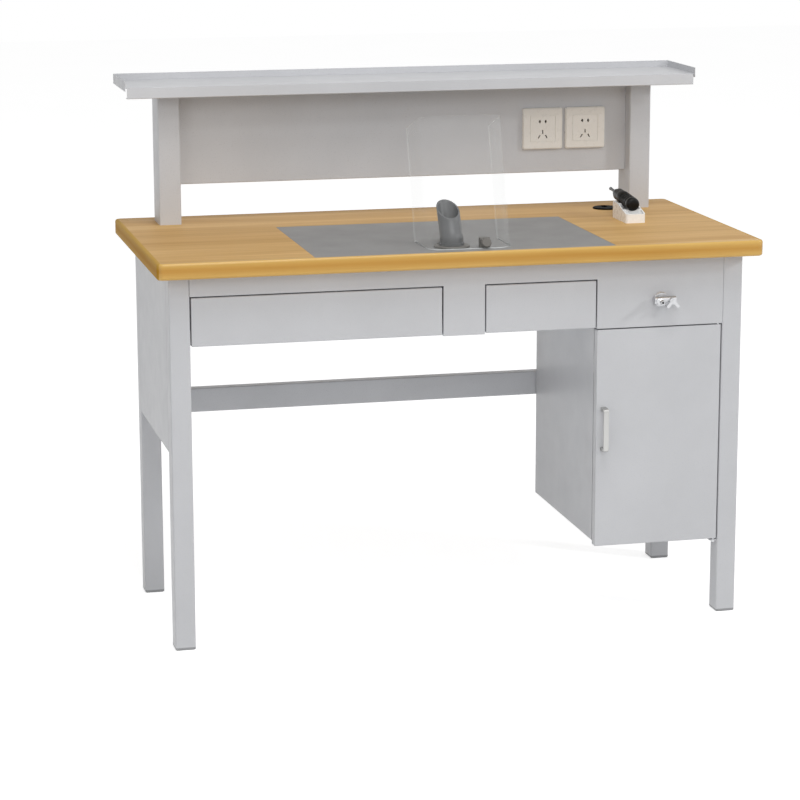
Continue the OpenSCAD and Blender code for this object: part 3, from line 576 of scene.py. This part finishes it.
def joined_copy(node):
    """A CAD node's mesh with its loose triangles joined and its flat faces whole."""
    mesh = bmesh.new()
    mesh.from_mesh(NODES[node].data)
    bmesh.ops.remove_doubles(mesh, verts=mesh.verts, dist=SAME_CORNER)
    bmesh.ops.dissolve_limit(
        mesh, angle_limit=FLAT_WITHIN, use_dissolve_boundaries=False,
        verts=mesh.verts, edges=mesh.edges,
    )
    for face in mesh.faces:
        face.material_index = 0
    return mesh


def share_edges(mesh, radius):
    """Gives each outer edge its share of the rounding: all of it between broad faces,
    and less at a thin one, such as the rim of a sheet."""
    layers = mesh.edges.layers.float
    share = layers.get("bevel_weight_edge") or layers.new("bevel_weight_edge")
    breadth = {face: 2 * face.calc_area() / face.calc_perimeter() for face in mesh.faces}
    for edge in mesh.edges:
        turn = edge.calc_face_angle(0)
        edge.smooth = turn < CURVED_BELOW
        if edge.smooth or not edge.is_convex:
            continue
        thin = min(breadth[face] for face in edge.link_faces)
        edge[share] = min(1, RIM_SHARE * thin / radius)
        edge.smooth = True


def make_piece(name, mesh, nodes, finishes, radius=0, convex=False):
    """Turns a bmesh into a piece that stands for CAD nodes of one body.
    Convex splits its hooked and ring-shaped faces."""
    if radius:
        share_edges(mesh, radius)
    if convex:
        bmesh.ops.connect_verts_concave(mesh, faces=mesh.faces)
    for face in mesh.faces:
        face.smooth = True
    data = bpy.data.meshes.new(name)
    mesh.to_mesh(data)
    mesh.free()
    for leftover in ("custom_normal", "sharp_face"):
        if leftover in data.attributes:
            data.attributes.remove(data.attributes[leftover])
    piece = bpy.data.objects.new(name, data)
    bpy.context.scene.collection.objects.link(piece)
    for finish in finishes:
        data.materials.append(finish)
    if radius:
        bevel = piece.modifiers.new("rounded_edges", "BEVEL")
        bevel.width = radius
        bevel.segments = bpy.context.scene.bench_edges.segments
        bevel.limit_method = "WEIGHT"
        bevel.harden_normals = True
    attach(piece, BODY_OF[nodes[0]])
    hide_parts(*nodes)


def finished_copies(nodes, radius, maker=None, convex=False):
    """Pieces with rounded edges, one for each CAD node named, in a finish given or their
    slots' own."""
    for node in nodes:
        slot = SLOT_OF[node]
        finish = finish_of(maker or FINISHES[slot])
        make_piece(
            f"{node}_finished", joined_copy(node), [node], [finish], radius, convex,
        )


def split_across(mesh, point, normal):
    """Cuts every face along a plane and keeps both sides."""
    bmesh.ops.bisect_plane(
        mesh, geom=[*mesh.verts, *mesh.edges, *mesh.faces], dist=SAME_POINT,
        plane_co=point, plane_no=normal,
    )


def turned(profile, place):
    """A closed turned form from (radius, distance along the axis) in millimetres."""
    mesh = bmesh.new()
    corners = [mesh.verts.new((radius * MM, 0, along * MM)) for radius, along in profile]
    edges = [mesh.edges.new(pair) for pair in zip(corners, corners[1:])]
    bmesh.ops.spin(
        mesh, geom=[*corners, *edges], cent=(0, 0, 0), axis=(0, 0, 1), dvec=(0, 0, 0),
        angle=math.tau, steps=TURNING_STEPS, use_merge=True, use_duplicate=False,
    )
    bmesh.ops.remove_doubles(mesh, verts=mesh.verts, dist=SAME_POINT)
    bmesh.ops.recalc_face_normals(mesh, faces=mesh.faces)
    bmesh.ops.transform(mesh, matrix=place, verts=mesh.verts)
    return mesh


class SteelFrame(bpy.types.Operator):
    """Finishes the legs with their caps, the rails, side panels, front and fixed runners"""

    bl_idname = "bench.steel_frame"
    bl_label = "Steel Frame"

    def execute(self, context):
        edges = context.scene.bench_edges
        finished_copies(
            [
                "leg_front_left", "leg_front_right", "leg_back_left", "leg_back_right",
                "side_top_rails", "back_top_rail", "rear_stretcher", "side_panel_left",
                "side_panel_right", "front_fascia",
            ],
            edges.sheet,
        )
        finished_copies(["drawer_divider", "runner_bracket", "outer_runners"], edges.fitting)
        finished_copies(["leg_end_caps"], edges.moulding, leg_end_plastic)
        return {"FINISHED"}


class Drawers(bpy.types.Operator):
    """Finishes both drawers: painted fronts, zinc trays and their runners"""

    bl_idname = "bench.drawers"
    bl_label = "Drawers"

    def execute(self, context):
        edges = context.scene.bench_edges
        finished_copies(["drawer_left_front", "drawer_right_front"], edges.sheet)
        finished_copies(
            [
                "drawer_left_tray", "drawer_left_runners", "drawer_right_tray",
                "drawer_right_runners",
            ],
            edges.fitting,
        )
        return {"FINISHED"}


class SideCabinet(bpy.types.Operator):
    """Finishes the cabinet, its door, the bow pull and the door's fittings"""

    bl_idname = "bench.side_cabinet"
    bl_label = "Side Cabinet"

    def execute(self, context):
        edges = context.scene.bench_edges
        finished_copies(
            [
                "cabinet_side_left", "cabinet_side_right", "cabinet_back", "cabinet_ceiling",
                "door_panel",
            ],
            edges.sheet,
        )
        finished_copies(["cabinet_floor"], edges.sheet, convex=True)
        finished_copies(
            ["door_stiffener", "catch_striker", "door_pivots", "door_pull"], edges.fitting
        )
        finished_copies(["door_pivot_blocks", "catch_magnet"], edges.moulding)
        return {"FINISHED"}


class Worktop(bpy.types.Operator):
    """Finishes the laminated board, its wood lipping with mitred corners, and the grey plate"""

    bl_idname = "bench.worktop"
    bl_label = "Worktop"

    def execute(self, context):
        edges = context.scene.bench_edges
        finished_copies(["worktop_board", "inset_plate"], edges.board)
        self.lipping()
        return {"FINISHED"}

    def lipping(self):
        """The grain follows each strip, and the strips meet in mitres."""
        mesh = joined_copy("edge_lipping")
        low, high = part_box("edge_lipping")
        for x, y in ((low.x, low.y), (low.x, high.y), (high.x, low.y), (high.x, high.y)):
            normal = Vector((1, -1, 0)) if x * y > 0 else Vector((1, 1, 0))
            split_across(mesh, (x, y, 0), normal.normalized())
        for face in mesh.faces:
            centre = face.calc_center_median()
            to_side = min(centre.x - low.x, high.x - centre.x)
            to_front = min(centre.y - low.y, high.y - centre.y)
            face.material_index = 1 if to_side < to_front else 0
        make_piece(
            "edge_lipping_finished", mesh, ["edge_lipping"],
            [finish_of(lipping_wood, along_x=True), finish_of(lipping_wood, along_x=False)],
        )


class Superstructure(bpy.types.Operator):
    """Paints the uprights, the tray shelf and the back panel with its box"""

    bl_idname = "bench.superstructure"
    bl_label = "Superstructure"

    def execute(self, context):
        edges = context.scene.bench_edges
        finished_copies(
            [
                "upright_left", "upright_right", "shelf_tray", "shelf_edges", "back_panel",
                "panel_cover",
            ],
            edges.sheet,
        )
        finished_copies(["upright_plugs", "upright_bolts"], edges.fitting)
        return {"FINISHED"}


class Sockets(bpy.types.Operator):
    """Finishes the two white socket plates, and paints the wells behind their pin holes
    near-black as shade
    """

    bl_idname = "bench.sockets"
    bl_label = "Sockets"

    def execute(self, context):
        finished_copies(["socket_plates"], context.scene.bench_edges.moulding, socket_plastic)
        self.bodies()
        return {"FINISHED"}

    def bodies(self):
        """A face of a body is a well's if it lies within the body's outline; wells get painted
        shade.
        """
        mesh = joined_copy("socket_bodies")
        low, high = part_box("socket_bodies")
        # Half a body's width, how far its wells reach from its middle, and its outer skin
        half_body, reach, skin = 28.5 * MM, 27.5 * MM, 0.5 * MM
        middles = (low.x + half_body, high.x - half_body)
        height = (low.z + high.z) / 2
        for face in mesh.faces:
            centre = face.calc_center_median()
            aside = min(abs(centre.x - middle) for middle in middles)
            within = aside < reach and abs(centre.z - height) < reach
            if within and low.y + skin < centre.y < high.y - skin:
                # The wells' faces get the near-black painted shade
                face.material_index = 1
        make_piece(
            "socket_bodies_finished", mesh, ["socket_bodies"],
            [finish_of(socket_plastic), finish_of(pin_hole_shade)],
        )


class SuctionNozzle(bpy.types.Operator):
    """Finishes the suction nozzle and its flange"""

    bl_idname = "bench.suction_nozzle"
    bl_label = "Suction Nozzle"

    def execute(self, context):
        radius = 0.8 * context.scene.bench_edges.moulding
        finished_copies(["suction_nozzle"], radius)
        finished_copies(["suction_flange"], radius, dark_plastic)
        return {"FINISHED"}


class DustGuard(bpy.types.Operator):
    """Makes the clear guard with its edges and foot painted brighter as highlights, and
    finishes its clamp
    """

    bl_idname = "bench.dust_guard"
    bl_label = "Dust Guard"

    EDGE_RADIUS = 0.4 * MM
    REAR_RIM = 0.1 * MM
    ALIGNED = 0.95  # least cosine between a face's normal and the direction it looks in

    def execute(self, context):
        mesh = joined_copy("dust_guard")
        upwards = self.lean(context, (0, 0, 1))
        backwards = self.lean(context, (0, 1, 0))
        farthest = max(vert.co.dot(backwards) for vert in mesh.verts)
        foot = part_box("dust_guard")[0].z + context.scene.bench_guard.foot
        split_across(mesh, (0, 0, foot), (0, 0, 1))
        for face in mesh.faces:
            centre = face.calc_center_median()
            at_top = face.normal.dot(upwards) > self.ALIGNED
            at_back = (
                centre.dot(backwards) > farthest - self.REAR_RIM
                and face.normal.dot(backwards) > self.ALIGNED
            )
            # Painted highlights: the foot band and the top and rear rims get brighter, more
            # opaque clear finishes
            if centre.z < foot:
                face.material_index = 2
            elif at_top or at_back:
                face.material_index = 1
        make_piece(
            "dust_guard_finished", mesh, ["dust_guard"],
            [finish_of(clear_sheet), finish_of(clear_edge), finish_of(foot_highlight)],
            self.EDGE_RADIUS,
        )
        moulding = context.scene.bench_edges.moulding
        finished_copies(["guard_post", "guard_screw"], moulding, dark_plastic)
        return {"FINISHED"}

    def lean(self, context, direction):
        """A direction of the upright sheet, tipped back with the guard."""
        return Matrix.Rotation(-context.scene.bench_guard.lean, 3, "X") @ Vector(direction)


class GasTap(bpy.types.Operator):
    """Finishes the chromed gas tap"""

    bl_idname = "bench.gas_tap"
    bl_label = "Gas Tap"

    def execute(self, context):
        radius = context.scene.bench_edges.fitting
        finished_copies(["tap_body", "tap_lever", "tap_locknut"], radius)
        return {"FINISHED"}


class Handpiece(bpy.types.Operator):
    """Makes the handpiece with its ringed grip, and finishes its chuck and cradle"""

    bl_idname = "bench.handpiece"
    bl_label = "Handpiece"

    CHUCK_EDGE = 0.3 * MM
    NEAR_END_Y = -13 * MM

    def execute(self, context):
        finished_copies(["handpiece_cradle"], context.scene.bench_edges.moulding)
        finished_copies(["handpiece_chuck"], self.CHUCK_EDGE, dark_chuck_steel)
        self.body(context.scene.bench_grip)
        return {"FINISHED"}

    def body(self, grip):
        """A turned body with a grooved grip, a collar seam and a bore for the chuck."""
        low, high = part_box("handpiece_body")
        middle = (low.x + high.x) / 2
        near_end = (middle, self.NEAR_END_Y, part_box("worktop_board")[1].z + grip.start)
        place = (
            Matrix.Translation(near_end)
            @ Matrix.Rotation(grip.tilt, 4, "X")
            @ Matrix.Rotation(math.radians(-90), 4, "X")
        )
        r, length = (high.x - low.x) / 2 / MM, 117
        bore_r, bore_depth = 5, 12
        profile = [
            (0, 0), (r - 4.4, 0), (r - 3.4, 0.4), (r - 1.2, 2.6), (r - 0.4, 5), (r, 8),
            (r, 15.5), (r - 0.6, 15.7), (r - 0.6, 16.3), (r, 16.5), (r, 22),
        ]
        depth, pitch, first_groove = grip.groove / MM, grip.pitch / MM, 24
        for ring in range(grip.rings):
            along = first_groove + ring * pitch
            profile += [
                (r, along), (r - 0.7 * depth, along + 0.2 * pitch),
                (r - depth, along + 0.35 * pitch), (r - 0.7 * depth, along + 0.5 * pitch),
                (r, along + 0.7 * pitch),
            ]
        profile += [
            (r, 70), (r - 0.3, 74), (r - 1.1, 79), (r - 1.5, 82), (r - 1.5, 99), (r - 2, 101.5),
            (r - 4, 107.6), (r - 5.6, 115), (r - 6.4, 116.6), (r - 7.2, length),
            (bore_r, length), (bore_r, length - bore_depth), (0, length - bore_depth),
        ]
        make_piece(
            "handpiece_grip", turned(profile, place), ["handpiece_body"],
            [finish_of(black_plastic)],
        )


class CableOutlet(bpy.types.Operator):
    """Finishes the cable outlet's ring and cap"""

    bl_idname = "bench.cable_outlet"
    bl_label = "Cable Outlet"

    def execute(self, context):
        radius = 0.6 * context.scene.bench_edges.moulding
        finished_copies(["cable_grommet"], radius, dull_black_plastic, convex=True)
        finished_copies(["grommet_cap"], radius, dull_black_plastic)
        return {"FINISHED"}


class Stage(bpy.types.Operator):
    """Adds the floor, the lamps, the white surroundings and the camera"""

    bl_idname = "bench.stage"
    bl_label = "Stage"

    # Each lamp's name, place, diameter and setting of its power; all aim at one point
    LAMPS = (
        ("key_lamp", (6.2, -3.9, 4.0), 0.9, "key_power"),
        ("front_lamp", (-0.4, -4.6, 2.6), 1.6, "front_power"),
        ("fill_lamp", (-3.4, -2.6, 1.6), 2.6, "fill_power"),
        ("top_lamp", (0.1, -1.7, 4.0), 1.8, "top_power"),
    )
    LAMP_TARGET = (0, 0, 0.6)
    FLOOR_REACH = 14
    FLOOR_GLOW = 0.65
    # The camera's place, and how many degrees it is turned to the right, tipped down and rolled
    CAMERA_PLACE = (-1.3131, -5.2304, 1.5945)
    CAMERA_RIGHT, CAMERA_DOWN, CAMERA_ROLL = 13.43, 12.34, -0.12
    CAMERA_REACH = 60

    def execute(self, context):
        settings = context.scene.bench_stage
        self.floor()
        self.surroundings(settings)
        for name, place, diameter, power in self.LAMPS:
            self.lamp(name, place, diameter, getattr(settings, power))
        self.camera(settings)
        context.scene.view_settings.view_transform = "Standard"
        return {"FINISHED"}

    def floor(self):
        """A floor that looks white to the camera and in gloss, and keeps a trace of shadow."""
        mesh = bmesh.new()
        bmesh.ops.create_grid(mesh, x_segments=1, y_segments=1, size=self.FLOOR_REACH)
        data = bpy.data.meshes.new("studio_floor")
        mesh.to_mesh(data)
        mesh.free()
        floor = bpy.data.objects.new("studio_floor", data)
        bpy.context.scene.collection.objects.link(floor)
        finish = Finish("white_floor")
        white, whiter = linear(240, 240, 240), linear(244, 244, 244)
        paths = finish.nodes.new("ShaderNodeLightPath").outputs
        seen = finish.maths("MAXIMUM", paths["Is Camera Ray"], paths["Is Glossy Ray"])
        seen = finish.maths("MAXIMUM", seen, paths["Is Transmission Ray"])
        finish.surface_values(
            Base_Color=finish.blend(finish.noise(2), white, whiter),
            Roughness=0.9,
            Specular_IOR_Level=0.0,
            Emission_Color=(1, 1, 1),
            Emission_Strength=finish.maths("MULTIPLY", seen, self.FLOOR_GLOW),
        )
        data.materials.append(finish.material)

    def surroundings(self, settings):
        """White to the camera and in gloss, and an even grey light otherwise."""
        world = bpy.data.worlds.new("white_surroundings")
        bpy.context.scene.world = world
        world.use_nodes = True
        nodes, links = world.node_tree.nodes, world.node_tree.links
        background = nodes["Background"]
        background.inputs["Color"].default_value = (1, 1, 1, 1)
        paths = nodes.new("ShaderNodeLightPath").outputs
        seen = paths["Is Camera Ray"]
        for other in ("Is Glossy Ray", "Is Transmission Ray"):
            either = nodes.new("ShaderNodeMath")
            either.operation = "MAXIMUM"
            links.new(seen, either.inputs[0])
            links.new(paths[other], either.inputs[1])
            seen = either.outputs[0]
        strength = nodes.new("ShaderNodeMapRange")
        strength.inputs["To Min"].default_value = settings.world_level
        strength.inputs["To Max"].default_value = 1.0
        links.new(seen, strength.inputs["Value"])
        links.new(strength.outputs["Result"], background.inputs["Strength"])

    def lamp(self, name, place, diameter, power):
        data = bpy.data.lights.new(name, "AREA")
        data.shape = "DISK"
        data.size = diameter
        data.energy = power
        lamp = bpy.data.objects.new(name, data)
        lamp.location = place
        aim = Vector(self.LAMP_TARGET) - Vector(place)
        lamp.rotation_euler = aim.to_track_quat("-Z", "Y").to_euler()
        bpy.context.scene.collection.objects.link(lamp)

    def camera(self, settings):
        data = bpy.data.cameras.new("camera")
        data.sensor_width = 36
        data.lens = settings.focal_length
        data.clip_end = self.CAMERA_REACH
        camera = bpy.data.objects.new("camera", data)
        turn = (
            Matrix.Rotation(math.radians(-self.CAMERA_RIGHT), 4, "Z")
            @ Matrix.Rotation(math.radians(90 - self.CAMERA_DOWN), 4, "X")
            @ Matrix.Rotation(math.radians(self.CAMERA_ROLL), 4, "Z")
        )
        camera.matrix_world = Matrix.Translation(self.CAMERA_PLACE) @ turn
        bpy.context.scene.collection.objects.link(camera)
        bpy.context.scene.camera = camera


OPERATORS = (
    SteelFrame, Drawers, SideCabinet, Worktop, Superstructure, Sockets, SuctionNozzle,
    DustGuard, GasTap, Handpiece, CableOutlet, Stage,
)
GROUPS = {
    "bench_finish": FinishSettings,
    "bench_edges": EdgeSettings,
    "bench_grip": GripSettings,
    "bench_guard": GuardSettings,
    "bench_stage": StageSettings,
}


class WorkbenchPanel(bpy.types.Panel):
    """The workbench's steps in the sidebar"""

    bl_idname = "VIEW3D_PT_workbench"
    bl_label = "Dental Lab Workbench"
    bl_space_type = "VIEW_3D"
    bl_region_type = "UI"
    bl_category = "Workbench"

    def draw(self, context):
        for operator in OPERATORS:
            self.layout.operator(operator.bl_idname)
        for name, group in GROUPS.items():
            settings = getattr(context.scene, name)
            for field in group.__annotations__:
                self.layout.prop(settings, field)


def register():
    for item in (*GROUPS.values(), *OPERATORS, WorkbenchPanel):
        bpy.utils.register_class(item)
    for name, group in GROUPS.items():
        setattr(bpy.types.Scene, name, PointerProperty(type=group))


def unregister():
    for name in GROUPS:
        delattr(bpy.types.Scene, name)
    for item in reversed((*GROUPS.values(), *OPERATORS, WorkbenchPanel)):
        bpy.utils.unregister_class(item)


def main():
    register()
    bpy.ops.bench.steel_frame()
    bpy.ops.bench.drawers()
    bpy.ops.bench.side_cabinet()
    bpy.ops.bench.worktop()
    bpy.ops.bench.superstructure()
    bpy.ops.bench.sockets()
    bpy.ops.bench.suction_nozzle()
    bpy.ops.bench.dust_guard()
    bpy.ops.bench.gas_tap()
    bpy.ops.bench.handpiece()
    bpy.ops.bench.cable_outlet()
    bpy.ops.bench.stage()


if __name__ == "__main__":
    main()
